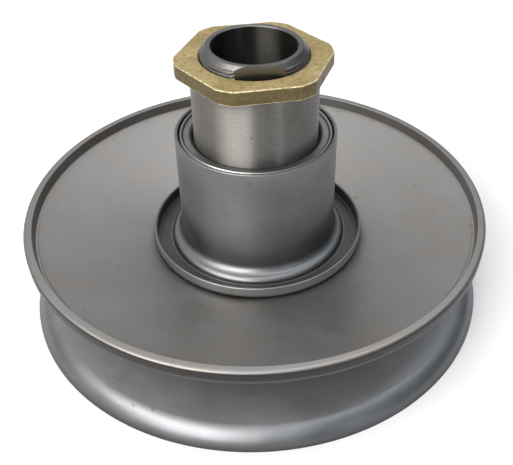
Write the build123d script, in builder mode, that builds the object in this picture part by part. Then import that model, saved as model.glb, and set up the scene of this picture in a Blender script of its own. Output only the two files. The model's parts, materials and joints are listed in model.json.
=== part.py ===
from build123d import *
from math import cos, radians, sin, tan
import os

# Driven pulley of a scooter belt drive: two pressed steel sheave halves on coaxial steel hubs.
# Z is the shaft axis, z = 0 is the lower edge of the fixed face's skirt, all sizes in millimetres.
# The pulley is closed at rest: the movable face lies just above the fixed one.

os.makedirs("parts", exist_ok=True)

# Belt groove and the two faces
FACE_ANGLE = 15.0
FACE_SLOPE = tan(radians(FACE_ANGLE))
SHEET = 2.0
GROOVE_ROOT_RADIUS = 28.5
FIXED_FLAT_TOP = 13.7
CLOSED_GAP = 0.2
SKIRT_RADIUS = 66.35
SKIRT_ROUNDING = 6.5
RIM_RADIUS = 65.6
RIM_TOP = 28.0
RIM_WALL = 2.35
RIM_TAPER = 0.25
RIM_WALL_FOOT_TAPER = 0.45
RIM_TOP_ROUNDING = 0.9
RIM_FOOT_CHAMFER = 0.8
RIM_INNER_CHAMFER = 0.2
MOVABLE_FLAT_THICKNESS = 1.9
MOVABLE_SLOPE_SETBACK = 0.8

# Fixed hub, which carries everything
HUB_RADIUS = 17.0
HUB_FOOT = 0.5
HUB_SHOULDER = 69.7
HUB_TOP = 76.4
HUB_FLANGE_RADIUS = 23.5
HUB_FLANGE_THICKNESS = 2.6
SHAFT_HOLE_RADIUS = 11.15
GREASE_CHAMBER_RADIUS = 14.1
THREAD_RADIUS = 14.0
THREAD_DEPTH = 0.55
THREAD_PITCH = 1.0
THREAD_CLEARANCE = 0.08
THREAD_END_CHAMFER = 1.4
THREAD_RELIEF = 0.3
MOUTH_CHAMFER = 0.5
SHOULDER_CHAMFER = 0.3
FOOT_CHAMFER = 0.4
FLANGE_CHAMFER = 0.5
WELD_LEG = 1.9
WELD_FACE_RADIUS = 2.2
SPANNER_FLATS = 24.0
SPANNER_FLATS_TURN = 5.5
SPANNER_FLATS_RISE = 1.0

# Clutch nut
NUT_ACROSS_FLATS = 38.0
NUT_CORNER_RADIUS = 20.7
NUT_THICKNESS = 3.9
NUT_TURN = 9.5
NUT_MOUTH_RADIUS = 14.45
NUT_EDGE_WIDTH = 0.4
NUT_EDGE_DEPTH = 0.3

# Ball bearing, 15 x 28 x 7
BALL_BEARING_BASE = 46.0
BALL_BEARING_WIDTH = 7.0
BALL_BEARING_BORE_RADIUS = 7.5
BALL_BEARING_RADIUS = 14.0
BALL_BEARING_INNER_WALL = 1.7
BALL_BEARING_OUTER_WALL = 1.6
BALL_BEARING_EDGE = 0.3
BALL_RADIUS = 1.98
BALL_PITCH_RADIUS = 10.75
BALL_COUNT = 11
BALL_GROOVE_CLEARANCE = 0.03
BALL_POCKET_CLEARANCE = 0.05
BALL_CAGE_HEIGHT = 5.0
BALL_CAGE_WALL = 1.3
SHIELD_THICKNESS = 0.4
SHIELD_SETBACK = 0.2
SHIELD_CLEARANCE = 0.1
CIRCLIP_BASE = 44.7
CIRCLIP_THICKNESS = 1.0
CIRCLIP_GROOVE_DEPTH = 0.8
CIRCLIP_RADIUS = 14.75
CIRCLIP_HOLE_RADIUS = 12.5
CIRCLIP_OPENING = 4.0
CIRCLIP_LUG_RADIUS = 1.6
CIRCLIP_LUG_HOLE_RADIUS = 0.7
CIRCLIP_LUG_TURN = 15.47

# Needle bearing, 20 x 29 x 18
NEEDLE_CUP_BASE = 1.0
NEEDLE_CUP_LENGTH = 18.0
NEEDLE_CUP_RADIUS = 14.5
NEEDLE_CUP_WALL = 1.5
NEEDLE_CUP_CORNER = 0.8
NEEDLE_CUP_LIP = 0.9
NEEDLE_CUP_LIP_REACH = 0.4
NEEDLE_RADIUS = 1.5
NEEDLE_LENGTH = 13.0
NEEDLE_PITCH_RADIUS = 11.49
NEEDLE_COUNT = 14
NEEDLE_END_PLAY = 0.1
NEEDLE_CAGE_WALL = 1.5
NEEDLE_CAGE_END_GAP = 1.1
NEEDLE_POCKET_DEPTH = 2.5

# Movable hub with its three helical cam slots
SLIDING_HUB_BORE_RADIUS = 17.06
SLIDING_HUB_RADIUS = 21.05
SLIDING_HUB_TOP = 51.0
CAM_COUNT = 3
CAM_FIRST_AZIMUTH = 90.0
CAM_TRAVEL = 14.0
CAM_SWEEP = 36.0
CAM_SLOT_WIDTH = 8.2
GUIDE_PIN_HEIGHT = 40.0
GUIDE_PIN_RADIUS = 2.0
ROLLER_RADIUS = 4.0
ROLLER_CLEARANCE = 0.06
ROLLER_END_GAP = 0.25
ROLLER_EDGE = 0.2
PIN_FOOT_GAP = 0.2
PIN_HEAD_GAP = 0.1
PIN_EDGE = 0.25

# Oil seals, 34 x 40 x 4, and the two O-rings
SEAL_RADIUS = 20.1
SEAL_HEIGHT = 3.6
SEAL_LIP_RADIUS = 18.3
SEAL_SETBACK = 0.2
SEAL_OVERHANG = 0.4
SLIDING_HUB_CHAMFER = 0.4
SEAL_POCKET_CHAMFER = 0.3
O_RING_SECTION_RADIUS = 0.85
O_RING_RADIUS = 20.46
O_RING_GROOVE_WIDTH = 2.0
UPPER_O_RING_HEIGHT = 45.7
LOWER_O_RING_HEIGHT = 20.6

# Seal collar, which is also the spring's seat
COLLAR_SHEET = 0.85
COLLAR_RADIUS = 22.2
COLLAR_TOP = 51.3
COLLAR_FLOOR = 17.0
COLLAR_RIM_RADIUS = 30.4
COLLAR_RIM_TOP = 20.2
TRAY_BEND = 2.0
TRAY_FOOT_ROUNDING = 0.3
COLLAR_RIM_CHAMFER = 0.3
COLLAR_TOP_CHAMFER = 0.2
FLARE_HOLLOW = 2.4
FLARE_ROUND = 1.9
FLARE_TURN = 75.0

# Worked out from the sizes above
FIXED_FLAT_UNDERSIDE = FIXED_FLAT_TOP - SHEET
SLIDING_HUB_FOOT = FIXED_FLAT_TOP + CLOSED_GAP
MOVABLE_FLAT_TOP = SLIDING_HUB_FOOT + MOVABLE_FLAT_THICKNESS
BALL_BEARING_TOP = BALL_BEARING_BASE + BALL_BEARING_WIDTH
BALL_HEIGHT = BALL_BEARING_BASE + BALL_BEARING_WIDTH / 2
CIRCLIP_TOP = CIRCLIP_BASE + CIRCLIP_THICKNESS
NEEDLE_CUP_TOP = NEEDLE_CUP_BASE + NEEDLE_CUP_LENGTH
NEEDLE_FOOT = NEEDLE_CUP_BASE + (NEEDLE_CUP_LENGTH - NEEDLE_LENGTH) / 2
HUB_FLANGE_FOOT = FIXED_FLAT_UNDERSIDE - HUB_FLANGE_THICKNESS
UPPER_SEAL_FOOT = SLIDING_HUB_TOP - SEAL_HEIGHT - SEAL_SETBACK
LOWER_SEAL_TOP = SLIDING_HUB_FOOT + SEAL_HEIGHT - SEAL_OVERHANG
CAM_PITCH = CAM_TRAVEL * 360.0 / CAM_SWEEP
CAM_AZIMUTHS = [CAM_FIRST_AZIMUTH + 360.0 / CAM_COUNT * number for number in range(CAM_COUNT)]


def half_section(*corners):
    """Closed outline in the r-z half plane, from (radius, height) corners."""
    with BuildSketch(Plane.XZ) as section:
        with BuildLine():
            Polyline(*corners, close=True)
        make_face()
    return section.sketch


def radial_plane(azimuth, height, radius=0.0):
    """Plane whose normal points outwards along a radius at this azimuth and height."""
    outwards = Vector(cos(radians(azimuth)), sin(radians(azimuth)), 0)
    return Plane(origin=outwards * radius + Vector(0, 0, height), x_dir=(0, 0, 1), z_dir=outwards)


def thread_edge(crest_radius, root_radius, foot, top):
    """Zigzag of (radius, height) points up one side of a thread with V grooves."""
    points = []
    for turn in range(int((top - foot) / THREAD_PITCH)):
        groove = foot + THREAD_PITCH * (turn + 0.5)
        points.append((crest_radius, groove - THREAD_PITCH * 0.44))
        points.append((root_radius, groove))
        points.append((crest_radius, groove + THREAD_PITCH * 0.44))
    return points


def keep(builder, name):
    """Label a finished piece and write it as its own STEP file."""
    builder.part.label = name
    export_step(builder.part, f"parts/{name}.step")


# ---- Fixed side ----

with BuildPart() as fixed_face_plate:
    skirt_corner = FIXED_FLAT_TOP - (SKIRT_RADIUS - GROOVE_ROOT_RADIUS) * FACE_SLOPE
    inner_skirt = SKIRT_RADIUS - SHEET
    inner_corner = skirt_corner - SHEET / cos(radians(FACE_ANGLE)) + SHEET * FACE_SLOPE
    inner_root = GROOVE_ROOT_RADIUS - SHEET * tan(radians(FACE_ANGLE / 2))
    below = -SKIRT_ROUNDING
    with BuildSketch(Plane.XZ):
        with BuildLine():
            Polyline(
                (HUB_RADIUS, FIXED_FLAT_TOP),
                (GROOVE_ROOT_RADIUS, FIXED_FLAT_TOP),
                (SKIRT_RADIUS, skirt_corner),
                (SKIRT_RADIUS, below),
                (inner_skirt, below),
                (inner_skirt, inner_corner),
                (inner_root, FIXED_FLAT_UNDERSIDE),
                (HUB_RADIUS, FIXED_FLAT_UNDERSIDE),
                close=True,
            )
        make_face()
        shoulders = vertices().filter_by(lambda v: v.Y > 0).sort_by(Axis.X)
        fillet(shoulders[-1], SKIRT_ROUNDING)
        fillet(shoulders[-2], SKIRT_ROUNDING - SHEET)
    revolve(axis=Axis.Z)
    split(bisect_by=Plane.XY, keep=Keep.TOP)
keep(fixed_face_plate, "fixed_face_plate")

with BuildPart() as pin_bores:
    for azimuth in CAM_AZIMUTHS:
        with BuildSketch(radial_plane(azimuth, GUIDE_PIN_HEIGHT, GREASE_CHAMBER_RADIUS - 1)):
            Circle(GUIDE_PIN_RADIUS)
        extrude(amount=HUB_RADIUS - GREASE_CHAMBER_RADIUS + 2)

with BuildPart() as flats_cutter:
    with BuildSketch(Plane.XY.offset(HUB_SHOULDER + SPANNER_FLATS_RISE)):
        Circle(THREAD_RADIUS + 2)
        Rectangle(3 * THREAD_RADIUS, SPANNER_FLATS, rotation=SPANNER_FLATS_TURN, mode=Mode.SUBTRACT)
    extrude(amount=HUB_TOP - HUB_SHOULDER)

with BuildPart() as fixed_face_hub:
    thread_foot = HUB_SHOULDER + THREAD_RELIEF
    thread_top = HUB_TOP - THREAD_END_CHAMFER - 0.1
    thread = thread_edge(THREAD_RADIUS, THREAD_RADIUS - THREAD_DEPTH, thread_foot, thread_top)
    revolve(
        half_section(
            (NEEDLE_CUP_RADIUS + 0.5, HUB_FOOT),
            (HUB_RADIUS - FOOT_CHAMFER, HUB_FOOT),
            (HUB_RADIUS, HUB_FOOT + FOOT_CHAMFER),
            (HUB_RADIUS, HUB_FLANGE_FOOT),
            (HUB_FLANGE_RADIUS - FLANGE_CHAMFER, HUB_FLANGE_FOOT),
            (HUB_FLANGE_RADIUS, HUB_FLANGE_FOOT + FLANGE_CHAMFER),
            (HUB_FLANGE_RADIUS, FIXED_FLAT_UNDERSIDE),
            (HUB_RADIUS, FIXED_FLAT_UNDERSIDE),
            (HUB_RADIUS, HUB_SHOULDER - SHOULDER_CHAMFER),
            (HUB_RADIUS - SHOULDER_CHAMFER, HUB_SHOULDER),
            (THREAD_RADIUS, HUB_SHOULDER),
            *thread,
            (THREAD_RADIUS, HUB_TOP - THREAD_END_CHAMFER),
            (THREAD_RADIUS - THREAD_END_CHAMFER, HUB_TOP),
            (SHAFT_HOLE_RADIUS + MOUTH_CHAMFER, HUB_TOP),
            (SHAFT_HOLE_RADIUS, HUB_TOP - MOUTH_CHAMFER),
            (SHAFT_HOLE_RADIUS, BALL_BEARING_TOP),
            (BALL_BEARING_RADIUS, BALL_BEARING_TOP),
            (BALL_BEARING_RADIUS, CIRCLIP_TOP),
            (BALL_BEARING_RADIUS + CIRCLIP_GROOVE_DEPTH, CIRCLIP_TOP),
            (BALL_BEARING_RADIUS + CIRCLIP_GROOVE_DEPTH, CIRCLIP_BASE),
            (GREASE_CHAMBER_RADIUS, CIRCLIP_BASE),
            (GREASE_CHAMBER_RADIUS, NEEDLE_CUP_TOP + 0.5),
            (NEEDLE_CUP_RADIUS, NEEDLE_CUP_TOP + 0.5),
            (NEEDLE_CUP_RADIUS, HUB_FOOT + 0.5),
        ),
        axis=Axis.Z,
    )
    add(flats_cutter.part, mode=Mode.SUBTRACT)
    add(pin_bores.part, mode=Mode.SUBTRACT)
keep(fixed_face_hub, "fixed_face_hub")

with BuildPart() as hub_weld:
    with BuildSketch(Plane.XZ):
        with BuildLine():
            weld_corner = (HUB_FLANGE_RADIUS, FIXED_FLAT_UNDERSIDE)
            weld_outside = (HUB_FLANGE_RADIUS + WELD_LEG, FIXED_FLAT_UNDERSIDE)
            weld_foot = (HUB_FLANGE_RADIUS, FIXED_FLAT_UNDERSIDE - WELD_LEG)
            Line(weld_corner, weld_outside)
            RadiusArc(weld_outside, weld_foot, WELD_FACE_RADIUS)
            Line(weld_foot, weld_corner)
        make_face()
    revolve(axis=Axis.Z)
keep(hub_weld, "hub_weld")

with BuildPart() as clutch_nut:
    nut_top = HUB_SHOULDER + NUT_THICKNESS
    with BuildSketch(Plane.XY.offset(HUB_SHOULDER)):
        RegularPolygon(NUT_ACROSS_FLATS / 2, 6, major_radius=False, rotation=NUT_TURN)
    extrude(amount=NUT_THICKNESS)
    bore_radius = THREAD_RADIUS + THREAD_CLEARANCE
    thread_foot = HUB_SHOULDER + THREAD_RELIEF
    bore_thread = thread_edge(bore_radius, bore_radius - THREAD_DEPTH, thread_foot, nut_top)
    revolve(
        half_section(
            (bore_radius + MOUTH_CHAMFER, HUB_SHOULDER),
            (NUT_CORNER_RADIUS - NUT_EDGE_WIDTH, HUB_SHOULDER),
            (NUT_CORNER_RADIUS, HUB_SHOULDER + NUT_EDGE_DEPTH),
            (NUT_CORNER_RADIUS, nut_top - NUT_EDGE_DEPTH),
            (NUT_CORNER_RADIUS - NUT_EDGE_WIDTH, nut_top),
            (NUT_MOUTH_RADIUS, nut_top),
            *[point for point in reversed(bore_thread) if point[1] < nut_top - MOUTH_CHAMFER],
            (bore_radius, thread_foot),
        ),
        axis=Axis.Z,
        mode=Mode.INTERSECT,
    )
keep(clutch_nut, "clutch_nut")

for number, azimuth in enumerate(CAM_AZIMUTHS, start=1):
    pin_foot = GREASE_CHAMBER_RADIUS + PIN_FOOT_GAP
    pin_head = SLIDING_HUB_RADIUS - PIN_HEAD_GAP
    roller_foot = HUB_RADIUS + ROLLER_END_GAP
    roller_head = SLIDING_HUB_RADIUS - ROLLER_END_GAP

    with BuildPart() as guide_pin:
        with BuildSketch(radial_plane(azimuth, GUIDE_PIN_HEIGHT, pin_foot)):
            Circle(GUIDE_PIN_RADIUS)
        extrude(amount=pin_head - pin_foot)
        chamfer(guide_pin.edges().filter_by(GeomType.CIRCLE), PIN_EDGE)
    keep(guide_pin, f"guide_pin_{number}")

    with BuildPart() as guide_roller:
        with BuildSketch(radial_plane(azimuth, GUIDE_PIN_HEIGHT, roller_foot)):
            Circle(ROLLER_RADIUS)
            Circle(GUIDE_PIN_RADIUS + ROLLER_CLEARANCE, mode=Mode.SUBTRACT)
        extrude(amount=roller_head - roller_foot)
        rims = guide_roller.edges().filter_by(GeomType.CIRCLE).group_by(SortBy.RADIUS)[-1]
        chamfer(rims, ROLLER_EDGE)
    keep(guide_roller, f"guide_roller_{number}")

# ---- Bearings inside the fixed hub ----

with BuildPart() as needle_bearing_cup:
    lip_radius = NEEDLE_PITCH_RADIUS - NEEDLE_CUP_LIP_REACH
    raceway_radius = NEEDLE_CUP_RADIUS - NEEDLE_CUP_WALL
    revolve(
        half_section(
            (lip_radius, NEEDLE_CUP_BASE),
            (NEEDLE_CUP_RADIUS - NEEDLE_CUP_CORNER, NEEDLE_CUP_BASE),
            (NEEDLE_CUP_RADIUS, NEEDLE_CUP_BASE + NEEDLE_CUP_CORNER),
            (NEEDLE_CUP_RADIUS, NEEDLE_CUP_TOP - NEEDLE_CUP_CORNER),
            (NEEDLE_CUP_RADIUS - NEEDLE_CUP_CORNER, NEEDLE_CUP_TOP),
            (lip_radius, NEEDLE_CUP_TOP),
            (lip_radius, NEEDLE_CUP_TOP - NEEDLE_CUP_LIP),
            (raceway_radius, NEEDLE_CUP_TOP - NEEDLE_CUP_LIP),
            (raceway_radius, NEEDLE_CUP_BASE + NEEDLE_CUP_LIP),
            (lip_radius, NEEDLE_CUP_BASE + NEEDLE_CUP_LIP),
        ),
        axis=Axis.Z,
    )
keep(needle_bearing_cup, "needle_bearing_cup")

with BuildPart() as needle_rollers:
    with BuildSketch(Plane.XY.offset(NEEDLE_FOOT)):
        with PolarLocations(NEEDLE_PITCH_RADIUS, NEEDLE_COUNT):
            Circle(NEEDLE_RADIUS - 0.01)
    extrude(amount=NEEDLE_LENGTH)
keep(needle_rollers, "needle_rollers")

with BuildPart() as needle_bearing_cage:
    cage_foot = NEEDLE_CUP_BASE + NEEDLE_CAGE_END_GAP
    with BuildSketch(Plane.XY.offset(cage_foot)):
        Circle(NEEDLE_PITCH_RADIUS + NEEDLE_CAGE_WALL / 2)
        Circle(NEEDLE_PITCH_RADIUS - NEEDLE_CAGE_WALL / 2, mode=Mode.SUBTRACT)
    extrude(amount=NEEDLE_CUP_LENGTH - 2 * NEEDLE_CAGE_END_GAP)
    with BuildSketch(Plane.XY.offset(NEEDLE_FOOT - NEEDLE_END_PLAY)):
        with PolarLocations(NEEDLE_PITCH_RADIUS, NEEDLE_COUNT):
            Rectangle(NEEDLE_POCKET_DEPTH, 2 * NEEDLE_RADIUS + NEEDLE_END_PLAY)
    extrude(amount=NEEDLE_LENGTH + 2 * NEEDLE_END_PLAY, mode=Mode.SUBTRACT)
keep(needle_bearing_cage, "needle_bearing_cage")


def bearing_race(inner_radius, outer_radius):
    """Ring of the ball bearing, its edges broken, with the ball groove cut into it."""
    foot = BALL_BEARING_BASE
    top = BALL_BEARING_TOP
    edge = BALL_BEARING_EDGE
    with BuildPart() as race:
        revolve(
            half_section(
                (inner_radius + edge, foot),
                (outer_radius - edge, foot),
                (outer_radius, foot + edge),
                (outer_radius, top - edge),
                (outer_radius - edge, top),
                (inner_radius + edge, top),
                (inner_radius, top - edge),
                (inner_radius, foot + edge),
            ),
            axis=Axis.Z,
        )
        with BuildSketch(Plane.XZ):
            with Locations((BALL_PITCH_RADIUS, BALL_HEIGHT)):
                Circle(BALL_RADIUS + BALL_GROOVE_CLEARANCE)
        revolve(axis=Axis.Z, mode=Mode.SUBTRACT)
    return race


ball_bearing_outer_ring = bearing_race(
    BALL_BEARING_RADIUS - BALL_BEARING_OUTER_WALL, BALL_BEARING_RADIUS
)
keep(ball_bearing_outer_ring, "ball_bearing_outer_ring")

ball_bearing_inner_ring = bearing_race(
    BALL_BEARING_BORE_RADIUS, BALL_BEARING_BORE_RADIUS + BALL_BEARING_INNER_WALL
)
keep(ball_bearing_inner_ring, "ball_bearing_inner_ring")

with BuildPart() as ball_bearing_balls:
    with Locations(Plane.XY.offset(BALL_HEIGHT)):
        with PolarLocations(BALL_PITCH_RADIUS, BALL_COUNT):
            Sphere(BALL_RADIUS)
keep(ball_bearing_balls, "ball_bearing_balls")

with BuildPart() as ball_bearing_cage:
    with BuildSketch(Plane.XY.offset(BALL_HEIGHT - BALL_CAGE_HEIGHT / 2)):
        Circle(BALL_PITCH_RADIUS + BALL_CAGE_WALL / 2)
        Circle(BALL_PITCH_RADIUS - BALL_CAGE_WALL / 2, mode=Mode.SUBTRACT)
    extrude(amount=BALL_CAGE_HEIGHT)
    for number in range(BALL_COUNT):
        azimuth = 360.0 / BALL_COUNT * number
        with BuildSketch(radial_plane(azimuth, BALL_HEIGHT, BALL_PITCH_RADIUS - 1)):
            Circle(BALL_RADIUS + BALL_POCKET_CLEARANCE)
        extrude(amount=2, mode=Mode.SUBTRACT)
keep(ball_bearing_cage, "ball_bearing_cage")

SHIELDS = {
    "lower": BALL_BEARING_BASE + SHIELD_SETBACK,
    "upper": BALL_BEARING_TOP - SHIELD_SETBACK - SHIELD_THICKNESS,
}
shield_hole = BALL_BEARING_BORE_RADIUS + BALL_BEARING_INNER_WALL + SHIELD_CLEARANCE
for side, shield_foot in SHIELDS.items():
    with BuildPart() as ball_bearing_shield:
        with BuildSketch(Plane.XY.offset(shield_foot)):
            Circle(BALL_BEARING_RADIUS - BALL_BEARING_OUTER_WALL)
            Circle(shield_hole, mode=Mode.SUBTRACT)
        extrude(amount=SHIELD_THICKNESS)
    keep(ball_bearing_shield, f"ball_bearing_shield_{side}")

with BuildPart() as bearing_circlip:
    lug_x = CIRCLIP_HOLE_RADIUS * cos(radians(CIRCLIP_LUG_TURN))
    lug_y = CIRCLIP_HOLE_RADIUS * sin(radians(CIRCLIP_LUG_TURN))
    with BuildSketch(Plane.XY.offset(CIRCLIP_BASE)):
        Circle(CIRCLIP_RADIUS)
        Circle(CIRCLIP_HOLE_RADIUS, mode=Mode.SUBTRACT)
        with Locations((lug_x, -lug_y), (lug_x, lug_y)):
            Circle(CIRCLIP_LUG_RADIUS)
        with Locations((CIRCLIP_RADIUS, 0)):
            Rectangle(4 * (CIRCLIP_RADIUS - CIRCLIP_HOLE_RADIUS), CIRCLIP_OPENING, mode=Mode.SUBTRACT)
        with Locations((lug_x, -lug_y), (lug_x, lug_y)):
            Circle(CIRCLIP_LUG_HOLE_RADIUS, mode=Mode.SUBTRACT)
    extrude(amount=CIRCLIP_THICKNESS)
keep(bearing_circlip, "bearing_circlip")

# ---- Movable side ----

with BuildPart() as movable_face_plate:
    top_slope_foot = GROOVE_ROOT_RADIUS - MOVABLE_SLOPE_SETBACK
    rim_inside = RIM_RADIUS - RIM_WALL
    wall_foot_radius = rim_inside - RIM_WALL_FOOT_TAPER
    wall_foot = MOVABLE_FLAT_TOP + (wall_foot_radius - top_slope_foot) * FACE_SLOPE
    rim_corner_radius = RIM_RADIUS - RIM_TAPER
    rim_corner = SLIDING_HUB_FOOT + (rim_corner_radius - GROOVE_ROOT_RADIUS) * FACE_SLOPE
    with BuildSketch(Plane.XZ):
        with BuildLine():
            Polyline(
                (SLIDING_HUB_RADIUS, SLIDING_HUB_FOOT),
                (GROOVE_ROOT_RADIUS, SLIDING_HUB_FOOT),
                (rim_corner_radius, rim_corner),
                (RIM_RADIUS, RIM_TOP),
                (rim_inside, RIM_TOP),
                (wall_foot_radius, wall_foot),
                (top_slope_foot, MOVABLE_FLAT_TOP),
                (SLIDING_HUB_RADIUS, MOVABLE_FLAT_TOP),
                close=True,
            )
        make_face()
        chamfer(vertices().sort_by_distance((rim_corner_radius, rim_corner))[0], RIM_FOOT_CHAMFER)
        fillet(vertices().sort_by_distance((RIM_RADIUS, RIM_TOP))[0], RIM_TOP_ROUNDING)
        chamfer(vertices().sort_by_distance((rim_inside, RIM_TOP))[0], RIM_INNER_CHAMFER)
    revolve(axis=Axis.Z)
keep(movable_face_plate, "movable_face_plate")

with BuildPart() as cam_slot:
    slot_radius = (SLIDING_HUB_BORE_RADIUS + SLIDING_HUB_RADIUS) / 2
    slot_depth = SLIDING_HUB_RADIUS - SLIDING_HUB_BORE_RADIUS + 2
    slot_foot = GUIDE_PIN_HEIGHT - CAM_TRAVEL
    with BuildLine() as cam_path:
        Helix(CAM_PITCH, CAM_TRAVEL, slot_radius, center=(0, 0, slot_foot))
    with BuildSketch(Plane(origin=cam_path.line @ 0, x_dir=(1, 0, 0), z_dir=cam_path.line % 0)):
        Rectangle(slot_depth, CAM_SLOT_WIDTH)
    sweep(path=cam_path.line, is_frenet=True)
    for azimuth, height in ((0, slot_foot), (CAM_SWEEP, GUIDE_PIN_HEIGHT)):
        with BuildSketch(radial_plane(azimuth, height, slot_radius - slot_depth / 2)):
            Circle(CAM_SLOT_WIDTH / 2)
        extrude(amount=slot_depth)

with BuildPart() as movable_face_hub:
    revolve(
        half_section(
            (SEAL_RADIUS, SLIDING_HUB_FOOT),
            (SLIDING_HUB_RADIUS, SLIDING_HUB_FOOT),
            (SLIDING_HUB_RADIUS, SLIDING_HUB_TOP - SLIDING_HUB_CHAMFER),
            (SLIDING_HUB_RADIUS - SLIDING_HUB_CHAMFER, SLIDING_HUB_TOP),
            (SEAL_RADIUS + SEAL_POCKET_CHAMFER, SLIDING_HUB_TOP),
            (SEAL_RADIUS, SLIDING_HUB_TOP - SEAL_POCKET_CHAMFER),
            (SEAL_RADIUS, UPPER_SEAL_FOOT),
            (SLIDING_HUB_BORE_RADIUS, UPPER_SEAL_FOOT),
            (SLIDING_HUB_BORE_RADIUS, LOWER_SEAL_TOP),
            (SEAL_RADIUS, LOWER_SEAL_TOP),
        ),
        axis=Axis.Z,
    )
    groove_radius = O_RING_RADIUS - O_RING_SECTION_RADIUS
    for height in (UPPER_O_RING_HEIGHT, LOWER_O_RING_HEIGHT):
        with BuildSketch(Plane.XY.offset(height - O_RING_GROOVE_WIDTH / 2)):
            Circle(SLIDING_HUB_RADIUS + 1)
            Circle(groove_radius, mode=Mode.SUBTRACT)
        extrude(amount=O_RING_GROOVE_WIDTH, mode=Mode.SUBTRACT)
    for azimuth in CAM_AZIMUTHS:
        add(cam_slot.part.rotate(Axis.Z, azimuth - CAM_SWEEP), mode=Mode.SUBTRACT)
keep(movable_face_hub, "movable_face_hub")

for name, height in {"upper": UPPER_O_RING_HEIGHT, "lower": LOWER_O_RING_HEIGHT}.items():
    with BuildPart() as o_ring:
        with BuildSketch(Plane.XZ):
            with Locations((O_RING_RADIUS, height)):
                Circle(O_RING_SECTION_RADIUS)
        revolve(axis=Axis.Z)
    keep(o_ring, f"{name}_o_ring")


def seal_half_sections(foot, outward):
    """Metal case and rubber lip of an oil seal; outward is 1 with the lip side up, -1 with it down."""
    def place(*corners):
        return half_section(*[(radius, foot + outward * depth) for radius, depth in corners])

    case = place(
        (SEAL_LIP_RADIUS, 2.4),
        (SEAL_LIP_RADIUS, 3.3),
        (SEAL_RADIUS - 0.3, 3.3),
        (SEAL_RADIUS, 3.0),
        (SEAL_RADIUS, 0),
        (SEAL_RADIUS - 0.9, 0),
        (SEAL_RADIUS - 0.9, 2.4),
    )
    lip_edge = SLIDING_HUB_BORE_RADIUS
    lip = place(
        (SEAL_LIP_RADIUS, 3.1),
        (SEAL_LIP_RADIUS - 0.5, 3.1),
        (lip_edge + 0.25, 2.7),
        (lip_edge, 2.3),
        (lip_edge + 0.35, 1.4),
        (lip_edge, 0.6),
        (lip_edge + 0.4, 0.1),
        (SEAL_LIP_RADIUS, 0.1),
    )
    return case, lip


SEALS = {"upper": (UPPER_SEAL_FOOT, 1), "lower": (LOWER_SEAL_TOP, -1)}
for name, (seal_foot, outward) in SEALS.items():
    case_section, lip_section = seal_half_sections(seal_foot, outward)
    with BuildPart() as seal_case:
        revolve(case_section, axis=Axis.Z)
    keep(seal_case, f"{name}_seal_case")
    with BuildPart() as seal_lip:
        revolve(lip_section, axis=Axis.Z)
    keep(seal_lip, f"{name}_seal_lip")

# ---- Seal collar ----

with BuildPart() as seal_collar:
    inside = COLLAR_RADIUS - COLLAR_SHEET
    underside = COLLAR_FLOOR - COLLAR_SHEET
    bend_radius = COLLAR_RIM_RADIUS - TRAY_BEND
    bend_height = underside + TRAY_BEND
    rim_inside = COLLAR_RIM_RADIUS - COLLAR_SHEET
    flare_sine = sin(radians(FLARE_TURN))
    flare_cosine = cos(radians(FLARE_TURN))
    flare_height = COLLAR_FLOOR + (FLARE_HOLLOW + FLARE_ROUND) * flare_sine
    hollow_centre = (COLLAR_RADIUS + FLARE_HOLLOW, flare_height)
    round_centre_radius = hollow_centre[0] - (FLARE_HOLLOW + FLARE_ROUND) * flare_cosine
    round_centre = (round_centre_radius, COLLAR_FLOOR)
    flare_foot = round_centre_radius + FLARE_ROUND
    inner_round = FLARE_ROUND - COLLAR_SHEET
    with BuildSketch(Plane.XZ):
        with BuildLine():
            Line((inside, flare_height), (inside, COLLAR_TOP))
            Line((inside, COLLAR_TOP), (COLLAR_RADIUS, COLLAR_TOP))
            Line((COLLAR_RADIUS, COLLAR_TOP), (COLLAR_RADIUS, flare_height))
            CenterArc(hollow_centre, FLARE_HOLLOW, 180, FLARE_TURN)
            CenterArc(round_centre, FLARE_ROUND, FLARE_TURN, -FLARE_TURN)
            Line((flare_foot, COLLAR_FLOOR), (rim_inside, COLLAR_FLOOR))
            Line((rim_inside, COLLAR_FLOOR), (rim_inside, COLLAR_RIM_TOP))
            Line((rim_inside, COLLAR_RIM_TOP), (COLLAR_RIM_RADIUS, COLLAR_RIM_TOP))
            Line((COLLAR_RIM_RADIUS, COLLAR_RIM_TOP), (COLLAR_RIM_RADIUS, bend_height))
            CenterArc((bend_radius, bend_height), TRAY_BEND, 270, 90)
            Line((bend_radius, underside), (flare_foot - COLLAR_SHEET, underside))
            Line((flare_foot - COLLAR_SHEET, underside), (flare_foot - COLLAR_SHEET, COLLAR_FLOOR))
            CenterArc(round_centre, inner_round, 0, FLARE_TURN)
            CenterArc(hollow_centre, FLARE_HOLLOW + COLLAR_SHEET, 180, FLARE_TURN)
        make_face()
        chamfer(vertices().group_by(Axis.Y)[-1], COLLAR_TOP_CHAMFER)
        chamfer(vertices().sort_by_distance((COLLAR_RIM_RADIUS, COLLAR_RIM_TOP))[0], COLLAR_RIM_CHAMFER)
        fillet(vertices().sort_by_distance((rim_inside, COLLAR_FLOOR))[0], TRAY_FOOT_ROUNDING)
    revolve(axis=Axis.Z)
keep(seal_collar, "seal_collar")
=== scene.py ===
import json
import math
import bpy
import bmesh
from mathutils import Matrix, Vector


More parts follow.
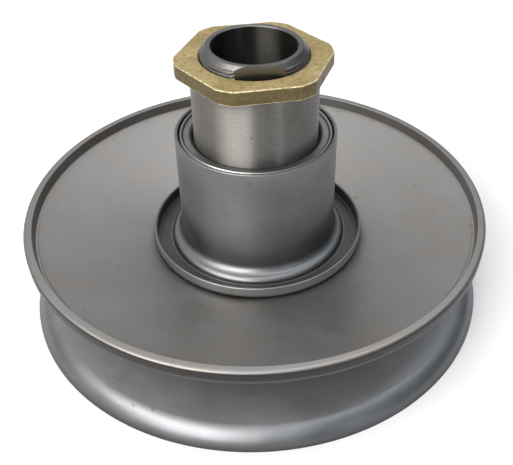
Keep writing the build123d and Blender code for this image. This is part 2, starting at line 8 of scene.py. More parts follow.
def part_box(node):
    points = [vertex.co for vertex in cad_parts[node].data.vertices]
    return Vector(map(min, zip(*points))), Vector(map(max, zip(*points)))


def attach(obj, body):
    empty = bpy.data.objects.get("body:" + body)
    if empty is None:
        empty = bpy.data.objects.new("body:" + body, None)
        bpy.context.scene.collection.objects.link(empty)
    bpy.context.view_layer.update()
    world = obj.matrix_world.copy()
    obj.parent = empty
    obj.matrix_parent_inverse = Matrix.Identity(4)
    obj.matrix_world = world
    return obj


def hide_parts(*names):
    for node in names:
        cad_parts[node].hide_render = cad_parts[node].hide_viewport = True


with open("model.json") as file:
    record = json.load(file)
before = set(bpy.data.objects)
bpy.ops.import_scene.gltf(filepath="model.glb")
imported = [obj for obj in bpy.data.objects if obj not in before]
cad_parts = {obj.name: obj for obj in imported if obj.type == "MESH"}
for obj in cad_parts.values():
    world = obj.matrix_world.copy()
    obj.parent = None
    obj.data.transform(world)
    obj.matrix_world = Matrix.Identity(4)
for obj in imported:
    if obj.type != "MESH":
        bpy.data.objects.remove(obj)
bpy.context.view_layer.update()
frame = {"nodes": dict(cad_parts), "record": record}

# A scooter's driven pulley: two conical sheave faces on a tubular hub.
# Outlines are in millimetres, as (radius, height, corner rounding), and pieces are built in metres.

MM = 0.001
SEGMENTS = 360
TURN_ANGLES = [2 * math.pi * turn / SEGMENTS for turn in range(SEGMENTS)]
CORNER_STEPS = 6
SHARP_EDGE_ANGLE = 24


# ---- Sizes read from the frame, in millimetres ----

def low(node):
    """Lowest corner of a CAD node's box."""
    return Vector(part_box(node)[0]) / MM


def high(node):
    """Highest corner of a CAD node's box."""
    return Vector(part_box(node)[1]) / MM


HUB_FOOT = low("fixed_face_hub").z
HUB_TOP = high("fixed_face_hub").z
HUB_SHOULDER = low("clutch_nut").z
NUT_TOP = high("clutch_nut").z
FIXED_FLAT = high("fixed_face_plate").z
MOVABLE_FOOT = low("movable_face_plate").z
RIM_RADIUS = high("movable_face_plate").x
RIM_TOP = high("movable_face_plate").z
SLIDING_HUB_RADIUS = high("movable_face_hub").x
COLLAR_TOP = high("seal_collar").z
COLLAR_UNDERSIDE = low("seal_collar").z
TRAY_RADIUS = high("seal_collar").x
BALL_BEARING_TOP = high("ball_bearing_outer_ring").z
CIRCLIP_FOOT = low("bearing_circlip").z
CIRCLIP_TOP = high("bearing_circlip").z
NEEDLE_CUP_TOP = high("needle_bearing_cup").z


# ---- Sizes that the frame's boxes don't show, in millimetres and degrees ----

FACE_ANGLE = 15
FACE_SLOPE = math.tan(math.radians(FACE_ANGLE))
SHEET = 2.0
GROOVE_ROOT = 28.5
ROOT_ROUNDING = 0.5

SKIRT_RADIUS = 66.35
SKIRT_ROUNDING = 6.5

MOVABLE_FLAT_THICKNESS = 1.9
MOVABLE_SLOPE_SETBACK = 0.8
RIM_WALL = 2.35
RIM_TAPER = 0.25
RIM_WALL_FOOT_TAPER = 0.45

COLLAR_SHEET = 0.85
COLLAR_RADIUS = 22.2
TRAY_TOP = 20.2
TRAY_BEND = 2.0
FLARE_HOLLOW = 2.4
FLARE_CROWN = 1.9
FLARE_TURN = 75

HUB_RADIUS = 17.0
HUB_FLANGE_RADIUS = 23.5
HUB_FLANGE_THICKNESS = 2.6
MOUTH_RADIUS = 11.15
BALL_BEARING_RADIUS = 14.0
CIRCLIP_GROOVE_DEPTH = 0.8
GREASE_CHAMBER_RADIUS = 14.1
NEEDLE_CUP_RADIUS = 14.5
NEEDLE_SEAT_SPARE = 0.5

THREAD_RADIUS = 14.0
THREAD_PITCH = 1.0
THREAD_DEPTH = 0.55
THREAD_GROOVE_HALF = 0.42  # half the groove's width, as a share of the pitch
THREAD_FOOT_GAP = 0.02
THREAD_RELIEF = 0.2
THREAD_RUN_IN = 0.3
THREAD_ROWS = 96
THREAD_END_CHAMFER = 1.45
THREAD_END_SETBACK = 1.5
SPANNER_FLATS = 24.0
SPANNER_FLATS_AZIMUTH = -84.5
SPANNER_FLATS_RISE = 1.0

NUT_ACROSS_FLATS = 38.0
NUT_CORNER_RADIUS = 20.7
NUT_AZIMUTH = 9.5
NUT_BORE_CLEARANCE = 0.08
NUT_MOUTH_RADIUS = 14.45
NUT_EDGE = 0.24


# ---- Mesh helpers ----

def across(angle):
    """Unit vector square to the shaft, at an angle in radians."""
    return Vector((math.cos(angle), math.sin(angle)))


def round_corner(before, here, after, rounding, steps):
    """Points of the arc that rounds the corner at here."""
    to_before = (before - here).normalized()
    to_after = (after - here).normalized()
    half = to_before.angle(to_after) / 2
    start = here + to_before * (rounding / math.tan(half))
    centre = here + (to_before + to_after).normalized() * (rounding / math.sin(half))
    arm = start - centre
    turn = math.pi - 2 * half
    if to_before.x * to_after.y - to_before.y * to_after.x > 0:
        turn = -turn
    points = []
    for step in range(steps + 1):
        angle = turn * step / steps
        swung = Vector((
            arm.x * math.cos(angle) - arm.y * math.sin(angle),
            arm.x * math.sin(angle) + arm.y * math.cos(angle),
        ))
        points.append(centre + swung)
    return points


def outline(corners):
    """Closed outline of (radius, height) points in mm, with each corner rounded by its third number."""
    points = []
    for index, (radius, height, rounding) in enumerate(corners):
        here = Vector((radius, height))
        if rounding == 0:
            points.append(here)
            continue
        before = Vector(corners[index - 1][:2])
        after = Vector(corners[(index + 1) % len(corners)][:2])
        steps = CORNER_STEPS if rounding < 1 else CORNER_STEPS * 3
        points.extend(round_corner(before, here, after, rounding, steps))
    return points


def arc(centre, radius, first, last, steps=12):
    """Unrounded corners along an arc, from one angle to another in degrees."""
    corners = []
    for step in range(steps + 1):
        angle = math.radians(first + (last - first) * step / steps)
        corners.append((centre[0] + radius * math.cos(angle), centre[1] + radius * math.sin(angle), 0))
    return corners


def finish_mesh(mesh, name, material):
    """Outward normals, smooth shading with sharp edges, and flat faces kept flat."""
    work = bmesh.new()
    work.from_mesh(mesh)
    bmesh.ops.recalc_face_normals(work, faces=work.faces)
    work.to_mesh(mesh)
    work.free()
    mesh.shade_smooth()
    mesh.set_sharp_from_angle(angle=math.radians(SHARP_EDGE_ANGLE))
    mesh.materials.append(material)
    piece = bpy.data.objects.new(name, mesh)
    bpy.context.scene.collection.objects.link(piece)
    weighted = piece.modifiers.new("flat_faces_stay_flat", "WEIGHTED_NORMAL")
    weighted.keep_sharp = True
    return piece


def swept_ring(name, columns, material):
    """Closed ring from columns of (point across, height) in mm, one for each turn angle."""
    vertices = [
        (point.x * MM, point.y * MM, height * MM) for column in columns for point, height in column
    ]
    count = len(columns[0])
    faces = []
    for turn in range(len(columns)):
        here = turn * count
        there = (turn + 1) % len(columns) * count
        for index in range(count):
            following = (index + 1) % count
            faces.append((here + index, there + index, there + following, here + following))
    mesh = bpy.data.meshes.new(name)
    mesh.from_pydata(vertices, [], faces)
    return finish_mesh(mesh, name, material)


def turned(name, corners, material):
    """Solid of revolution about Z from a rounded outline."""
    points = outline(corners)
    columns = [[(across(angle) * p.x, p.y) for p in points] for angle in TURN_ANGLES]
    return swept_ring(name, columns, material)


def place(piece, body, finish, *nodes):
    """Put a piece on its body in place of its CAD nodes, which it hides; the finish is not used."""
    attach(piece, body)
    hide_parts(*nodes)


# ---- Node builders ----

class Nodes:
    """A small builder for a node tree."""

    def __init__(self, tree):
        self.tree = tree

    def node(self, kind, **settings):
        made = self.tree.nodes.new(kind)
        for key, value in settings.items():
            setattr(made, key, value)
        return made

    def plug(self, socket, value):
        if isinstance(value, bpy.types.NodeSocket):
            self.tree.links.new(value, socket)
        else:
            socket.default_value = value

    def math(self, operation, first, second=0.0):
        made = self.node("ShaderNodeMath", operation=operation)
        self.plug(made.inputs[0], first)
        self.plug(made.inputs[1], second)
        return made.outputs[0]

    def split(self, vector):
        """The x, y and z of a vector."""
        made = self.node("ShaderNodeSeparateXYZ")
        self.plug(made.inputs[0], vector)
        return made.outputs

    def coordinates(self, kind):
        return self.node("ShaderNodeTexCoord").outputs[kind]

    def remap(self, value, from_low, from_high, to_low, to_high):
        made = self.node("ShaderNodeMapRange")
        self.plug(made.inputs["Value"], value)
        self.plug(made.inputs["From Min"], from_low)
        self.plug(made.inputs["From Max"], from_high)
        self.plug(made.inputs["To Min"], to_low)
        self.plug(made.inputs["To Max"], to_high)
        return made.outputs["Result"]

    def mix(self, factor, first, second, blend="MIX"):
        made = self.node("ShaderNodeMix", data_type="RGBA", blend_type=blend)
        self.plug(made.inputs["Factor"], factor)
        self.plug(made.inputs["A"], first)
        self.plug(made.inputs["B"], second)
        return made.outputs["Result"]


class Shader(Nodes):
    """The builder for one material; its surface's sockets are set by short names."""

    SOCKETS = {
        "color": "Base Color",
        "rough": "Roughness",
        "metal": "Metallic",
        "aniso": "Anisotropic",
        "aniso_turn": "Anisotropic Rotation",
        "tangent": "Tangent",
        "glow_color": "Emission Color",
        "glow": "Emission Strength",
        "normal": "Normal",
    }

    def __init__(self, name):
        self.material = bpy.data.materials.new(name)
        self.material.use_nodes = True
        super().__init__(self.material.node_tree)
        self.surface = self.tree.nodes["Principled BSDF"]

    def set(self, **values):
        for key, value in values.items():
            self.plug(self.surface.inputs[self.SOCKETS[key]], value)

    def position(self):
        return self.coordinates("Object")

    def radius(self):
        """Distance from the shaft's axis, in metres."""
        x, y, z = self.split(self.position())
        square = self.math("ADD", self.math("MULTIPLY", x, x), self.math("MULTIPLY", y, y))
        return self.math("SQRT", square)

    def radius_in_mm(self):
        return self.math("MULTIPLY", self.radius(), 1 / MM)

    def height_in_mm(self):
        return self.math("MULTIPLY", self.split(self.position())[2], 1 / MM)

    def facing_up(self):
        """1 where the surface faces up, 0 on walls."""
        return self.split(self.coordinates("Normal"))[2]

    def around(self, turn_scale, across_scale):
        """Coordinates that follow a lathe: fast across radius and height, slow round the turn."""
        x, y, z = self.split(self.position())
        radius = self.radius()
        safe = self.math("MAXIMUM", radius, 0.0001)
        cosine = self.math("MULTIPLY", self.math("DIVIDE", x, safe), turn_scale)
        sine = self.math("MULTIPLY", self.math("DIVIDE", y, safe), turn_scale)
        outwards = self.math("MULTIPLY", radius, across_scale)
        along = self.math("ADD", outwards, self.math("MULTIPLY", z, across_scale))
        join = self.node("ShaderNodeCombineXYZ")
        self.plug(join.inputs[0], cosine)
        self.plug(join.inputs[1], sine)
        self.plug(join.inputs[2], along)
        return join.outputs[0]

    def noise(self, vector, scale, detail, roughness):
        """Fractal noise; where the vector is a position, scale counts its features in a metre."""
        made = self.node("ShaderNodeTexNoise")
        self.plug(made.inputs["Vector"], vector)
        self.plug(made.inputs["Scale"], scale)
        self.plug(made.inputs["Detail"], detail)
        self.plug(made.inputs["Roughness"], roughness)
        return made.outputs["Fac"]

    def bump(self, height, strength, distance):
        """Relief from a height of 0 to 1, which stands for a distance in metres."""
        made = self.node("ShaderNodeBump")
        self.plug(made.inputs["Height"], height)
        self.plug(made.inputs["Strength"], strength)
        self.plug(made.inputs["Distance"], distance)
        self.set(normal=made.outputs["Normal"])


# ---- Materials ----

def gray(value, warm=0.0):
    """Neutral colour, tipped towards orange by warm."""
    return (value * (1 + warm), value, value * (1 - warm * 1.4), 1.0)


OIL = gray(0.10, 0.12)


def steel(name, base, dark, light, rough, marks, turn_marks=6.0, specks=0.4,
          bump=0.25, stretch=0.0, depth=0.32, shade=None):
    """Machined steel: cloudy tone, lathe marks, oil specks and reflections that the marks stretch.

    marks counts the lathe marks in a metre, and turn_marks says how often they change round the turn.
    """
    made = Shader(name)
    if stretch:
        tangent = made.node("ShaderNodeTangent", direction_type="RADIAL", axis="Z")
        made.set(tangent=tangent.outputs["Tangent"], aniso=stretch, aniso_turn=0.25)
    where = made.position()
    lathe = made.noise(made.around(turn_marks, marks), 1.0, 4.0, 0.6)
    cloud = made.noise(where, 55.0, 4.0, 0.6)
    grain = made.noise(where, 1900.0, 2.0, 0.5)
    spots = made.noise(where, 420.0, 2.0, 0.4)
    tone = made.mix(made.remap(cloud, 0.35, 0.68, 0.0, 1.0), base, light)
    tone = made.mix(made.remap(lathe, 0.35, 0.65, 0.0, depth), tone, dark)
    tone = made.mix(made.remap(grain, 0.55, 0.75, 0.0, 0.18), tone, dark)
    tone = made.mix(made.remap(spots, 0.72, 0.77, 0.0, specks), tone, OIL)
    # shade multiplies the tone by where the surface lies: painted shade on the rim wall, skirt foot and
    # tray, a little painted light on the tray's outer wall, and darkening inside the hub.
    if shade:
        tone = made.mix(1.0, tone, shade(made), "MULTIPLY")
    wear = made.remap(cloud, 0.3, 0.7, rough - 0.05, rough + 0.06)
    wear = made.math("ADD", wear, made.remap(lathe, 0.3, 0.7, -depth * 0.1, depth * 0.12))
    made.set(color=tone, rough=wear, metal=1.0)
    height = made.math("ADD", made.math("MULTIPLY", lathe, 0.7), made.math("MULTIPLY", grain, 0.3))
    made.bump(height, bump, 0.00004)
    return made.material


def painted_shade_rim_wall(made):
    """Painted shade darkens the rim's outer wall, which would otherwise mirror the bright floor."""
    return made.remap(made.radius_in_mm(), 65.2, 65.4, 1.0, 0.15)


def painted_shade_skirt_foot(made):
    """Painted shade darkens the lowest part of the skirt, which would otherwise mirror the bright
    floor.
    """
    return made.remap(made.height_in_mm(), 0.3, 5.0, 0.26, 1.0)


def painted_tray_shade_and_light(made):
    """Painted shade darkens the tray round the tube's foot, standing in for the tube's dark reflection;
    the outer wall gets a little painted light.
    """
    floor = made.remap(made.radius_in_mm(), 25.0, 26.0, 1.0, 0.42)
    outer_wall = made.remap(made.radius_in_mm(), 29.6, 30.2, 0.0, 1.15)
    return made.math("MAXIMUM", floor, outer_wall)


def bore_darker_inwards(made):
    """The hub's inside is painted darker, the more so the nearer to the axis."""
    return made.remap(made.radius_in_mm(), 11.6, 16.4, 0.22, 1.0)


def yellow_zinc(name):
    """Matt yellow passivated zinc, patchy with olive and brown, with painted shade on its walls."""
    straw, pale_straw = (0.46, 0.345, 0.13, 1), (0.64, 0.50, 0.24, 1)
    olive, brown = (0.42, 0.38, 0.17, 1), (0.27, 0.19, 0.08, 1)
    pit, crest = (0.24, 0.18, 0.09, 1), (0.80, 0.68, 0.42, 1)
    made = Shader(name)
    where = made.position()
    cloud = made.noise(where, 130.0, 4.0, 0.6)
    drift = made.noise(where, 60.0, 2.0, 0.5)
    grain = made.noise(where, 2600.0, 3.0, 0.6)
    pits = made.noise(where, 1150.0, 4.0, 0.65)
    tone = made.mix(made.remap(cloud, 0.3, 0.7, 0.0, 1.0), straw, pale_straw)
    tone = made.mix(made.remap(drift, 0.5, 0.72, 0.0, 0.5), tone, olive)
    tone = made.mix(made.remap(grain, 0.5, 0.8, 0.0, 0.5), tone, brown)
    tone = made.mix(made.remap(pits, 0.48, 0.7, 0.0, 0.6), tone, pit)
    tone = made.mix(made.remap(pits, 0.46, 0.3, 0.0, 0.5), tone, crest)
    # Painted shade: the walls are darkened far more than the faces that look up.
    tone = made.mix(1.0, tone, made.remap(made.facing_up(), 0.1, 0.7, 0.26, 0.90), "MULTIPLY")
    made.set(color=tone, rough=made.remap(cloud, 0.3, 0.7, 0.42, 0.55), metal=0.75)
    made.bump(made.math("ADD", grain, pits), 0.5, 0.00007)
    return made.material


def rubbed_zinc_and_highlight(name):
    """Pale along the nut's broken edges: partly the coating rubbed through, partly a painted highlight.
    """
    rubbed, whole = (0.86, 0.77, 0.54, 1), (0.50, 0.38, 0.17, 1)
    made = Shader(name)
    chips = made.noise(made.position(), 900.0, 4.0, 0.65)
    tone = made.mix(made.remap(chips, 0.42, 0.6, 0.0, 1.0), rubbed, whole)
    made.set(color=tone, rough=0.42, metal=0.8)
    made.bump(chips, 0.3, 0.00005)
    return made.material


def rubber(name):
    """Oily nitrile rubber with dust."""
    made = Shader(name)
    dust = made.noise(made.position(), 800.0, 4.0, 0.6)
    tone = made.mix(made.remap(dust, 0.55, 0.8, 0.0, 0.5), gray(0.012), gray(0.07, 0.05))
    made.set(color=tone, rough=made.remap(dust, 0.3, 0.7, 0.30, 0.5), metal=0.0)
    made.bump(dust, 0.2, 0.00005)
    return made.material


STEELS = {
    "movable_face_steel": dict(
        base=(0.325, 0.30, 0.275, 1), dark=(0.23, 0.215, 0.20, 1), light=(0.32, 0.325, 0.33, 1),
        rough=0.46, marks=1500.0, bump=0.12, depth=0.12, shade=painted_shade_rim_wall,
    ),
    "fixed_face_steel": dict(
        base=(0.32, 0.33, 0.345, 1), dark=(0.22, 0.23, 0.245, 1), light=(0.38, 0.39, 0.40, 1),
        rough=0.40, marks=1300.0, bump=0.14, depth=0.16, shade=painted_shade_skirt_foot,
    ),
    "collar_steel": dict(
        base=(0.245, 0.25, 0.25, 1), dark=gray(0.17, 0.03), light=(0.30, 0.305, 0.31, 1),
        rough=0.40, marks=700.0, turn_marks=3.0, bump=0.12, depth=0.2, stretch=0.4, shade=painted_tray_shade_and_light,
    ),
    "ground_steel": dict(
        base=gray(0.28, 0.05), dark=gray(0.19, 0.06), light=gray(0.34, 0.05),
        rough=0.48, marks=2600.0, turn_marks=9.0, specks=0.7, stretch=1.0, shade=bore_darker_inwards,
    ),
    "thread_steel": dict(
        base=gray(0.18, 0.02), dark=gray(0.08), light=gray(0.28, 0.02), rough=0.36, marks=1800.0,
    ),
    "hub_steel": dict(base=gray(0.42), dark=gray(0.28), light=gray(0.50), rough=0.33, marks=2200.0),
    "seal_metal": dict(
        base=gray(0.26), dark=gray(0.18), light=gray(0.33), rough=0.42, marks=1200.0, bump=0.15,
    ),
    "bearing_steel": dict(
        base=gray(0.5), dark=gray(0.4), light=gray(0.58), rough=0.22, marks=2600.0, bump=0.1,
    ),
    "shield_steel": dict(base=gray(0.42), dark=gray(0.3), light=gray(0.5), rough=0.34, marks=1500.0),
    "polished_steel": dict(
        base=gray(0.62), dark=gray(0.5), light=gray(0.7), rough=0.14, marks=900.0, bump=0.05,
    ),
    "pin_steel": dict(
        base=gray(0.5), dark=gray(0.36), light=gray(0.58), rough=0.24, marks=1500.0, bump=0.1,
    ),
    "spring_steel": dict(base=gray(0.07), dark=gray(0.04), light=gray(0.1), rough=0.45, marks=1500.0),
    "weld_metal": dict(
        base=gray(0.22, 0.06), dark=gray(0.12, 0.1), light=gray(0.3), rough=0.5, marks=400.0, bump=0.6,
    ),
    "cage_metal": dict(
        base=(0.55, 0.40, 0.17, 1), dark=(0.38, 0.26, 0.10, 1), light=(0.64, 0.50, 0.25, 1),
        rough=0.33, marks=1500.0,
    ),
}

materials = {name: steel(name, **look) for name, look in STEELS.items()}
materials["yellow_zinc"] = yellow_zinc("yellow_zinc")
materials["rubbed_zinc_and_highlight"] = rubbed_zinc_and_highlight("rubbed_zinc_and_highlight")
materials["seal_rubber"] = rubber("seal_rubber")
materials["o_ring_rubber"] = rubber("o_ring_rubber")

# Every CAD node takes its slot's material. The inner nodes, which no piece replaces, are shown so.
for entry in frame["record"]["subparts"]:
    node = frame["nodes"][entry["node"]]
    node.data.materials.clear()
    node.data.materials.append(materials[entry["material_slot"]])


# ---- Movable side ----

def movable_face():
    """Pressed cone with an upright rim; a fine groove runs round the foot of the rim's wall."""
    flat = MOVABLE_FOOT + MOVABLE_FLAT_THICKNESS
    slope_foot = GROOVE_ROOT - MOVABLE_SLOPE_SETBACK
    rim_inside = RIM_RADIUS - RIM_WALL
    wall_foot = rim_inside - RIM_WALL_FOOT_TAPER
    wall_height = flat + (wall_foot - slope_foot) * FACE_SLOPE
    wall_drop = 0.22
    step_width = 0.75
    step_depth = 0.2
    step_lean = 0.06
    step = wall_foot - step_width
    step_height = wall_height - step_width * FACE_SLOPE
    corner = RIM_RADIUS - RIM_TAPER
    corner_height = MOVABLE_FOOT + (corner - GROOVE_ROOT) * FACE_SLOPE
    chamfer_width = 0.77
    chamfer_drop = 0.21
    chamfer_rise = 0.8
    chamfer_lean = 0.05
    piece = turned("movable_face_plate_turned", [
        (SLIDING_HUB_RADIUS, MOVABLE_FOOT, 0),
        (GROOVE_ROOT, MOVABLE_FOOT, ROOT_ROUNDING),
        (corner - chamfer_width, corner_height - chamfer_drop, 0.15),
        (corner + chamfer_lean, corner_height + chamfer_rise, 0.15),
        (RIM_RADIUS, RIM_TOP, 0.9),
        (rim_inside, RIM_TOP, 0.25),
        (wall_foot, wall_height - wall_drop, 0.18),
        (step, step_height - step_depth, 0.06),
        (step - step_lean, step_height, 0.03),
        (slope_foot, flat, 0.6),
        (SLIDING_HUB_RADIUS, flat, 0),
    ], materials["movable_face_steel"])
    place(piece, "movable_face", "movable_face_steel", "movable_face_plate")


def seal_collar():
    """Drawn tube that flares into a shallow tray, one sheet thick all through."""
    floor = COLLAR_UNDERSIDE + COLLAR_SHEET
    inside = COLLAR_RADIUS - COLLAR_SHEET
    tray_inside = TRAY_RADIUS - COLLAR_SHEET
    swing = math.radians(FLARE_TURN)
    flare_height = floor + (FLARE_HOLLOW + FLARE_CROWN) * math.sin(swing)
    hollow = (COLLAR_RADIUS + FLARE_HOLLOW, flare_height)
    crown = (hollow[0] - (FLARE_HOLLOW + FLARE_CROWN) * math.cos(swing), floor)
    crown_last = 5  # the crown's arc stops just short of upright, to leave room for a fine fillet
    foot = crown[0] + FLARE_CROWN
    piece = turned("seal_collar_drawn", [
        (inside, COLLAR_TOP, 0.2),
        (COLLAR_RADIUS, COLLAR_TOP, 0.3),
        *arc(hollow, FLARE_HOLLOW, 180, 180 + FLARE_TURN),
        *arc(crown, FLARE_CROWN, FLARE_TURN, crown_last),
        (foot, floor, 0.12),
        (tray_inside, floor, 0.35),
        (tray_inside, TRAY_TOP, 0.15),
        (TRAY_RADIUS, TRAY_TOP, 0.25),
        (TRAY_RADIUS, COLLAR_UNDERSIDE, TRAY_BEND),
        (foot - COLLAR_SHEET, COLLAR_UNDERSIDE, 0),
        *arc(crown, FLARE_CROWN - COLLAR_SHEET, 0, FLARE_TURN),
        *arc(hollow, FLARE_HOLLOW + COLLAR_SHEET, 180 + FLARE_TURN, 180),
    ], materials["collar_steel"])
    place(piece, "seal_collar", "collar_steel", "seal_collar")


# ---- Fixed side ----

def fixed_face():
    """Pressed cone whose edge is rolled down into a skirt."""
    under = FIXED_FLAT - SHEET
    under_root = GROOVE_ROOT - SHEET * math.tan(math.radians(FACE_ANGLE / 2))
    inner_rounding = SKIRT_ROUNDING - SHEET
    upright = 90 - FACE_ANGLE
    corner_height = FIXED_FLAT - (SKIRT_RADIUS - GROOVE_ROOT) * FACE_SLOPE
    centre_height = corner_height - SKIRT_ROUNDING * math.tan(math.radians(upright / 2))
    centre = (SKIRT_RADIUS - SKIRT_ROUNDING, centre_height)
    foot = math.degrees(math.asin(-centre_height / SKIRT_ROUNDING))
    inner_foot = math.degrees(math.asin(-centre_height / inner_rounding))
    piece = turned("fixed_face_plate_turned", [
        (HUB_RADIUS, FIXED_FLAT, 0),
        (GROOVE_ROOT, FIXED_FLAT, ROOT_ROUNDING),
        *arc(centre, SKIRT_ROUNDING, upright, foot, steps=24),
        *arc(centre, inner_rounding, inner_foot, upright, steps=18),
        (under_root, under, ROOT_ROUNDING),
        (HUB_RADIUS, under, 0),
    ], materials["fixed_face_steel"])
    place(piece, "fixed_face", "fixed_face_steel", "fixed_face_plate")


def cut_to_flats(point):
    """Bring a point that lies outside the two spanner flats back to the nearer one."""
    normal = across(math.radians(SPANNER_FLATS_AZIMUTH))
    reach = point.dot(normal)
    over = max(abs(reach) - SPANNER_FLATS / 2, 0)
    return point - normal * math.copysign(over, reach)


def threaded_end(angle):
    """Points from the shoulder to the top: a helical thread, a 45 degree chamfer and the flats."""
    foot = HUB_SHOULDER + THREAD_FOOT_GAP
    length = HUB_TOP - HUB_SHOULDER - THREAD_FOOT_GAP
    chamfer_foot = HUB_TOP - THREAD_END_CHAMFER
    column = []
    for row in range(THREAD_ROWS):
        height = foot + length * row / THREAD_ROWS
        phase = (height / THREAD_PITCH - angle / (2 * math.pi)) % 1.0
        groove = THREAD_DEPTH * max(0.0, 1 - abs(phase - 0.5) / THREAD_GROOVE_HALF)
        fade = min(1.0, max(0.0, (height - HUB_SHOULDER - THREAD_RELIEF) / THREAD_RUN_IN))
        radius = min(THREAD_RADIUS - groove * fade, THREAD_RADIUS - (height - chamfer_foot))
        point = across(angle) * radius
        if height > HUB_SHOULDER + SPANNER_FLATS_RISE:
            point = cut_to_flats(point)
        column.append((point, height))
    rim = across(angle) * (THREAD_RADIUS - THREAD_END_SETBACK)
    column.append((cut_to_flats(rim), HUB_TOP))
    return column


def fixed_hub():
    """Long tube with a flange, a threaded end and a bore that narrows upwards in steps."""
    flange_top = FIXED_FLAT - SHEET
    flange_foot = flange_top - HUB_FLANGE_THICKNESS
    circlip_groove = BALL_BEARING_RADIUS + CIRCLIP_GROOVE_DEPTH
    needle_seat_top = NEEDLE_CUP_TOP + NEEDLE_SEAT_SPARE
    outside = outline([
        (NEEDLE_CUP_RADIUS, needle_seat_top, 0),
        (NEEDLE_CUP_RADIUS, HUB_FOOT, 0.4),
        (HUB_RADIUS, HUB_FOOT, 0.35),
        (HUB_RADIUS, flange_foot, 0),
        (HUB_FLANGE_RADIUS, flange_foot, 0.4),
        (HUB_FLANGE_RADIUS, flange_top, 0),
        (HUB_RADIUS, flange_top, 0),
        (HUB_RADIUS, HUB_SHOULDER, 0.3),
        (THREAD_RADIUS, HUB_SHOULDER, 0),
    ])
    inside = outline([
        (THREAD_RADIUS - THREAD_END_SETBACK, HUB_TOP, 0),
        (MOUTH_RADIUS, HUB_TOP, 0.35),
        (MOUTH_RADIUS, BALL_BEARING_TOP, 0),
        (BALL_BEARING_RADIUS, BALL_BEARING_TOP, 0),
        (BALL_BEARING_RADIUS, CIRCLIP_TOP, 0),
        (circlip_groove, CIRCLIP_TOP, 0),
        (circlip_groove, CIRCLIP_FOOT, 0),
        (GREASE_CHAMBER_RADIUS, CIRCLIP_FOOT, 0),
        (GREASE_CHAMBER_RADIUS, needle_seat_top, 0),
    ])[1:]
    columns = []
    for angle in TURN_ANGLES:
        below = [(across(angle) * p.x, p.y) for p in outside]
        above = [(across(angle) * p.x, p.y) for p in inside]
        columns.append(below + threaded_end(angle) + above)
    piece = swept_ring("fixed_face_hub_turned", columns, materials["ground_steel"])
    piece.data.materials.append(materials["thread_steel"])
    end_foot = HUB_SHOULDER + 0.1
    for polygon in piece.data.polygons:
        if polygon.center.z > end_foot * MM:
            polygon.material_index = 1
    place(piece, "fixed_face", "ground_steel", "fixed_face_hub")


def clutch_nut():
    """Thin hexagon nut, its corners turned off and every edge lightly broken."""
    bore = THREAD_RADIUS + NUT_BORE_CLEARANCE
    foot_chamfer = 0.4
    top_chamfer = 0.5
    mouth_width = 0.12
    mouth_depth = 0.1
    bevel = NUT_EDGE * 0.3
    columns = []
    for angle in TURN_ANGLES:
        off_flat = (angle - math.radians(NUT_AZIMUTH)) % math.radians(60) - math.radians(30)
        reach = min(NUT_ACROSS_FLATS / 2 / math.cos(off_flat), NUT_CORNER_RADIUS)
        section = [
            (bore, HUB_SHOULDER + foot_chamfer),
            (NUT_MOUTH_RADIUS, HUB_SHOULDER),
            (reach - NUT_EDGE, HUB_SHOULDER),
            (reach - bevel, HUB_SHOULDER + bevel),
            (reach, HUB_SHOULDER + NUT_EDGE),
            (reach, NUT_TOP - NUT_EDGE),
            (reach - bevel, NUT_TOP - bevel),
            (reach - NUT_EDGE, NUT_TOP),
            (NUT_MOUTH_RADIUS + mouth_width, NUT_TOP),
            (NUT_MOUTH_RADIUS, NUT_TOP - mouth_depth),
            (bore, NUT_TOP - top_chamfer),
        ]
        columns.append([(across(angle) * radius, height) for radius, height in section])
    piece = swept_ring("clutch_nut_milled", columns, materials["yellow_zinc"])
    piece.data.materials.append(materials["rubbed_zinc_and_highlight"])
    # The faces go round a section in its points' order, so these four are the two broken edges.
    broken_edges = (2, 3, 5, 6)
    for number, polygon in enumerate(piece.data.polygons):
        if number % len(columns[0]) in broken_edges:
            polygon.material_index = 1
    place(piece, "fixed_face", "yellow_zinc", "clutch_nut")


# ---- Floor, light and camera ----

PALE = (0.93, 0.93, 0.93, 1)
ROOM_MIDDLE = (0, 0, 0.03)
ROOM_HORIZON = 0.38
ROOM_ZENITH = 0.80


def pale_floor():
    """Round floor just under the object; far off it glows a little, to meet the pale backdrop."""
    reach = 12.0
    level = -0.00005
    sides = 96
    turns = [2 * math.pi * side / sides for side in range(sides)]
    around = [(reach * math.cos(turn), reach * math.sin(turn), level) for turn in turns]
    mesh = bpy.data.meshes.new("floor")
    mesh.from_pydata(around, [], [tuple(range(sides))])
    floor = bpy.data.objects.new("floor", mesh)
    bpy.context.scene.collection.objects.link(floor)
    made = Shader("floor_white")
    glow = made.remap(made.radius_in_mm(), 450.0, 1500.0, 0.0, 0.45)
    made.set(color=PALE, rough=0.9, glow_color=(1.0, 1.0, 1.0, 1.0), glow=glow)
    mesh.materials.append(made.material)


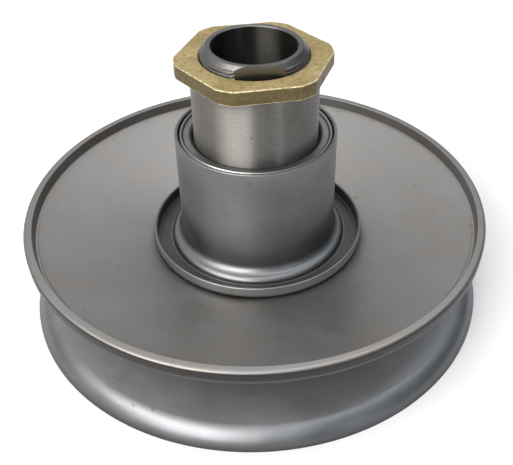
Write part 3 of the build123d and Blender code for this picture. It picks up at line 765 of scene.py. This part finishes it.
def room():
    """Soft light from all round, bright overhead, warm at the left and cool at the right.

    The camera sees a plain pale backdrop in its place.
    """
    world = bpy.data.worlds.new("studio")
    world.use_nodes = True
    made = Nodes(world.node_tree)
    x, y, z = made.split(made.coordinates("Generated"))
    height = made.remap(z, 0.0, 0.9, ROOM_HORIZON, ROOM_ZENITH)
    far_sides = made.math("MULTIPLY", made.math("MULTIPLY", x, x), 0.5)
    side = made.math("SUBTRACT", made.remap(x, -1.0, 1.0, 1.45, 0.65), far_sides)
    towards_viewer = made.math("ADD", made.math("MULTIPLY", x, 0.34), made.math("MULTIPLY", y, -0.94))
    viewer = made.remap(towards_viewer, 0.55, 0.95, 1.0, 0.45)
    light = made.math("MULTIPLY", made.math("MULTIPLY", height, side), viewer)
    warm, cool = (1.0, 0.985, 0.95, 1), (0.88, 0.95, 1.06, 1)
    tint = made.mix(made.remap(x, -0.9, 0.9, 0.0, 1.0), warm, cool)
    seen = made.node("ShaderNodeLightPath").outputs["Is Camera Ray"]
    background = world.node_tree.nodes["Background"]
    made.plug(background.inputs["Color"], made.mix(seen, tint, PALE))
    made.plug(background.inputs["Strength"], made.remap(seen, 0.0, 1.0, light, 1.0))
    bpy.context.scene.world = world


def soft_light(name, where, width, height, power, tint):
    """Rectangular lamp, its sides in metres and its power in watts, aimed at the object."""
    lamp = bpy.data.lights.new(name, "AREA")
    lamp.shape = "RECTANGLE"
    lamp.size = width
    lamp.size_y = height
    lamp.energy = power
    lamp.color = tint
    holder = bpy.data.objects.new(name, lamp)
    holder.location = where
    aim = Vector(ROOM_MIDDLE) - Vector(where)
    holder.rotation_euler = aim.to_track_quat("-Z", "Y").to_euler()
    bpy.context.scene.collection.objects.link(holder)


def lights():
    soft_light("key", (-0.52, -0.55, 0.78), 0.95, 0.45, 7.0, (1.0, 0.98, 0.95))
    soft_light("strip", (-0.52, -0.92, 0.46), 0.9, 0.3, 4.8, (1.0, 0.99, 0.98))
    soft_light("fill", (0.62, -0.75, 0.30), 0.12, 0.5, 0.5, (0.88, 0.94, 1.0))
    soft_light("top", (0.15, 0.15, 1.05), 0.9, 0.8, 3.8, (1.0, 1.0, 1.0))


def camera():
    """View from the front and above."""
    lens = bpy.data.cameras.new("camera")
    lens.sensor_width = 36.0
    lens.lens = 52.96
    lens.shift_x = -0.0852
    lens.shift_y = -0.0707
    lens.clip_start = 0.01
    where = (0, -0.176432, 0.159830)
    forward = Vector((0.05624, 0.79981, -0.59761)).normalized()
    right = Vector((0.99817, -0.05842, 0.01576)).normalized()
    up = right.cross(forward).normalized()
    holder = bpy.data.objects.new("camera", lens)
    basis = Matrix((right, up, -forward)).transposed().to_4x4()
    holder.matrix_world = Matrix.Translation(where) @ basis
    bpy.context.scene.collection.objects.link(holder)
    bpy.context.scene.camera = holder


movable_face()
seal_collar()
fixed_face()
fixed_hub()
clutch_nut()
pale_floor()
room()
lights()
camera()
bpy.context.scene.view_settings.view_transform = "Standard"
